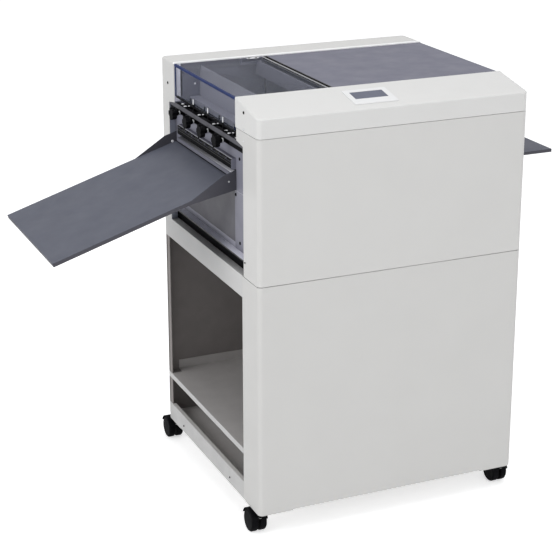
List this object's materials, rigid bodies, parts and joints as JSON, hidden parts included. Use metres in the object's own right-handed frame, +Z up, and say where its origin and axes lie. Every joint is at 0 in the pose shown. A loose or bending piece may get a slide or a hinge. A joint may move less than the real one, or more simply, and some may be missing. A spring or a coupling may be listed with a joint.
{
  "type": "floor-standing paper creasing machine",
  "caption": "Sheet-metal paper creaser and slitter on an open castor stand, with hinged covers, exit tray, feed table, knob-clamped tool carriages and a slanted control face.",
  "frame": {"origin": "middle of the whole machine's footprint, on the floor under the castors", "axes": "+X from the exit tray to the feed table, +Y from the control face to the back, +Z up"},
  "size_m": [1.2506, 0.6324, 1.0052],
  "materials": {
    "ivory_paint": "fine textured powder coat, warm light grey",
    "control_paint": "smooth light grey powder coat",
    "grey_paint": "fine textured powder coat, blue grey",
    "tray_paint": "textured powder coat, dark blue grey",
    "zinc_steel": "zinc plated",
    "bright_steel": "ground and polished",
    "dark_steel": "black oxide",
    "rail_steel": "black oxide, worn bright along the top",
    "clear_acrylic": "clear polished acrylic with a blue edge",
    "black_plastic": "fine moulded texture",
    "bezel_plastic": "satin grey",
    "screen_glass": "dark gloss",
    "roller_rubber": "ground rubber",
    "board_green": "solder mask"
  },
  "bodies": {
    "root": {"stand_front_panel": "ivory_paint", "stand_back_panel": "ivory_paint", "stand_right_panel": "ivory_paint", "stand_top_deck": "ivory_paint", "stand_base_pan": "ivory_paint", "stand_shelf": "ivory_paint", "corner_posts": "zinc_steel", "castor_plates": "ivory_paint", "machine_base": "dark_steel", "front_frame": "grey_paint", "rear_frame": "grey_paint", "front_cover": "ivory_paint", "control_cover": "control_paint", "back_cover": "ivory_paint", "exit_lower_panel": "grey_paint", "exit_upper_plate": "grey_paint", "feed_end_panel": "grey_paint", "cover_hinges": "zinc_steel", "exit_rail": "rail_steel", "clamp_bars": "dark_steel", "exit_guide": "dark_steel", "exit_lip": "bright_steel", "exit_tray": "tray_paint", "feed_table": "tray_paint", "screen_bezel": "bezel_plastic", "touch_screen": "screen_glass", "creasing_anvil": "bright_steel", "drive_motor": "dark_steel", "drive_belts": "roller_rubber", "power_inlet": "black_plastic", "control_board": "board_green"},
    "castor_fl": {"castor_hood_fl": "black_plastic"},
    "wheels_fl": {"castor_wheels_fl": "black_plastic"},
    "castor_fr": {"castor_hood_fr": "black_plastic"},
    "wheels_fr": {"castor_wheels_fr": "black_plastic"},
    "castor_bl": {"castor_hood_bl": "black_plastic"},
    "wheels_bl": {"castor_wheels_bl": "black_plastic"},
    "castor_br": {"castor_hood_br": "black_plastic"},
    "wheels_br": {"castor_wheels_br": "black_plastic"},
    "clear_cover": {"clear_cover": "clear_acrylic"},
    "top_lid": {"top_lid": "grey_paint"},
    "carriage_1": {"carriage_1": "dark_steel"},
    "knob_1": {"knob_1": "black_plastic"},
    "carriage_2": {"carriage_2": "dark_steel"},
    "knob_2": {"knob_2": "black_plastic"},
    "carriage_3": {"carriage_3": "dark_steel"},
    "knob_3": {"knob_3": "black_plastic"},
    "carriage_4": {"carriage_4": "dark_steel"},
    "knob_4": {"knob_4": "black_plastic"},
    "feed_guide_front": {"feed_guide_front": "dark_steel"},
    "feed_guide_back": {"feed_guide_back": "dark_steel"},
    "exit_drive_roller": {"exit_drive_roller": "roller_rubber"},
    "exit_press_roller": {"exit_press_roller": "roller_rubber"},
    "infeed_drive_roller": {"infeed_drive_roller": "roller_rubber"},
    "infeed_press_roller": {"infeed_press_roller": "roller_rubber"},
    "motor_pulley": {"motor_pulley": "zinc_steel"},
    "pickup_roller": {"pickup_roller": "roller_rubber"},
    "camshaft": {"camshaft": "bright_steel"},
    "creasing_beam": {"creasing_beam": "bright_steel"},
    "rocker_switch": {"rocker_switch": "black_plastic"}
  },
  "joints": [
    {"name": "castor_swivel_fl", "type": "hinge", "parent": "root", "child": "castor_fl", "pos_m": [-0.20474, -0.29315, 0.0609], "axis": [0, 0, 1], "continuous": true},
    {"name": "castor_roll_fl", "type": "hinge", "parent": "castor_fl", "child": "wheels_fl", "pos_m": [-0.20474, -0.26515, 0.027], "axis": [1, 0, 0], "continuous": true},
    {"name": "castor_swivel_fr", "type": "hinge", "parent": "root", "child": "castor_fr", "pos_m": [0.43126, -0.29315, 0.0609], "axis": [0, 0, 1], "continuous": true},
    {"name": "castor_roll_fr", "type": "hinge", "parent": "castor_fr", "child": "wheels_fr", "pos_m": [0.43126, -0.26515, 0.027], "axis": [1, 0, 0], "continuous": true},
    {"name": "castor_swivel_bl", "type": "hinge", "parent": "root", "child": "castor_bl", "pos_m": [-0.20474, 0.25885, 0.0609], "axis": [0, 0, 1], "continuous": true},
    {"name": "castor_roll_bl", "type": "hinge", "parent": "castor_bl", "child": "wheels_bl", "pos_m": [-0.20474, 0.28685, 0.027], "axis": [1, 0, 0], "continuous": true},
    {"name": "castor_swivel_br", "type": "hinge", "parent": "root", "child": "castor_br", "pos_m": [0.43126, 0.25885, 0.0609], "axis": [0, 0, 1], "continuous": true},
    {"name": "castor_roll_br", "type": "hinge", "parent": "castor_br", "child": "wheels_br", "pos_m": [0.43126, 0.28685, 0.027], "axis": [1, 0, 0], "continuous": true},
    {"name": "clear_cover_hinge", "type": "hinge", "parent": "root", "child": "clear_cover", "pos_m": [-0.21674, 0.18685, 1.0004], "axis": [-1, 0, 0], "range_deg": [0, 80]},
    {"name": "top_lid_hinge", "type": "hinge", "parent": "root", "child": "top_lid", "pos_m": [0.44326, 0.18685, 1.0004], "axis": [-1, 0, 0], "range_deg": [0, 80]},
    {"name": "carriage_slide_1", "type": "slide", "parent": "root", "child": "carriage_1", "axis": [0, 1, 0], "range_m": [-0.025, 0.025]},
    {"name": "knob_turn_1", "type": "hinge", "parent": "carriage_1", "child": "knob_1", "pos_m": [-0.21374, -0.12015, 0.89225], "axis": [1, 0, 0], "continuous": true},
    {"name": "carriage_slide_2", "type": "slide", "parent": "root", "child": "carriage_2", "axis": [0, 1, 0], "range_m": [-0.025, 0.025]},
    {"name": "knob_turn_2", "type": "hinge", "parent": "carriage_2", "child": "knob_2", "pos_m": [-0.21374, -0.02815, 0.89225], "axis": [1, 0, 0], "continuous": true},
    {"name": "carriage_slide_3", "type": "slide", "parent": "root", "child": "carriage_3", "axis": [0, 1, 0], "range_m": [-0.025, 0.025]},
    {"name": "knob_turn_3", "type": "hinge", "parent": "carriage_3", "child": "knob_3", "pos_m": [-0.21374, 0.06385, 0.89225], "axis": [1, 0, 0], "continuous": true},
    {"name": "carriage_slide_4", "type": "slide", "parent": "root", "child": "carriage_4", "axis": [0, 1, 0], "range_m": [-0.025, 0.025]},
    {"name": "knob_turn_4", "type": "hinge", "parent": "carriage_4", "child": "knob_4", "pos_m": [-0.21374, 0.15585, 0.89225], "axis": [1, 0, 0], "continuous": true},
    {"name": "feed_guide_front_slide", "type": "slide", "parent": "root", "child": "feed_guide_front", "axis": [0, 1, 0], "range_m": [0, 0.09]},
    {"name": "feed_guide_back_slide", "type": "slide", "parent": "root", "child": "feed_guide_back", "axis": [0, -1, 0], "range_m": [0, 0.09]},
    {"name": "exit_drive_roller_spin", "type": "hinge", "parent": "root", "child": "exit_drive_roller", "pos_m": [-0.16974, 0.0004, 0.81725], "axis": [0, 1, 0], "continuous": true},
    {"name": "exit_press_roller_spin", "type": "hinge", "parent": "root", "child": "exit_press_roller", "pos_m": [-0.16974, 0.0004, 0.84155], "axis": [0, 1, 0], "continuous": true},
    {"name": "infeed_drive_roller_spin", "type": "hinge", "parent": "root", "child": "infeed_drive_roller", "pos_m": [0.32826, 0.0004, 0.81725], "axis": [0, 1, 0], "continuous": true},
    {"name": "infeed_press_roller_spin", "type": "hinge", "parent": "root", "child": "infeed_press_roller", "pos_m": [0.32826, 0.0004, 0.84155], "axis": [0, 1, 0], "continuous": true},
    {"name": "motor_pulley_spin", "type": "hinge", "parent": "root", "child": "motor_pulley", "pos_m": [0.23326, 0.0004, 0.7059], "axis": [0, 1, 0], "continuous": true},
    {"name": "pickup_roller_spin", "type": "hinge", "parent": "root", "child": "pickup_roller", "pos_m": [0.39826, 0.0004, 0.8519], "axis": [0, 1, 0], "continuous": true},
    {"name": "camshaft_turn", "type": "hinge", "parent": "root", "child": "camshaft", "pos_m": [0.10326, 0.0004, 0.9105], "axis": [0, 1, 0], "range_deg": [0, 150]},
    {"name": "creasing_beam_slide", "type": "slide", "parent": "root", "child": "creasing_beam", "axis": [0, 0, -1], "range_m": [0, 0.008]},
    {"name": "rocker_tilt", "type": "hinge", "parent": "root", "child": "rocker_switch", "pos_m": [0.35576, 0.27985, 0.6689], "axis": [1, 0, 0], "range_deg": [0, 14]}
  ],
  "couplings": [
    {"joint": "feed_guide_back_slide", "follows": "feed_guide_front_slide", "ratio": 1},
    {"joint": "exit_press_roller_spin", "follows": "exit_drive_roller_spin", "ratio": -1},
    {"joint": "infeed_drive_roller_spin", "follows": "exit_drive_roller_spin", "ratio": 1},
    {"joint": "infeed_press_roller_spin", "follows": "exit_drive_roller_spin", "ratio": -1},
    {"joint": "motor_pulley_spin", "follows": "exit_drive_roller_spin", "ratio": 1},
    {"joint": "creasing_beam_slide", "follows": "camshaft_turn", "m_per_rad": 0.0030558}
  ]
}
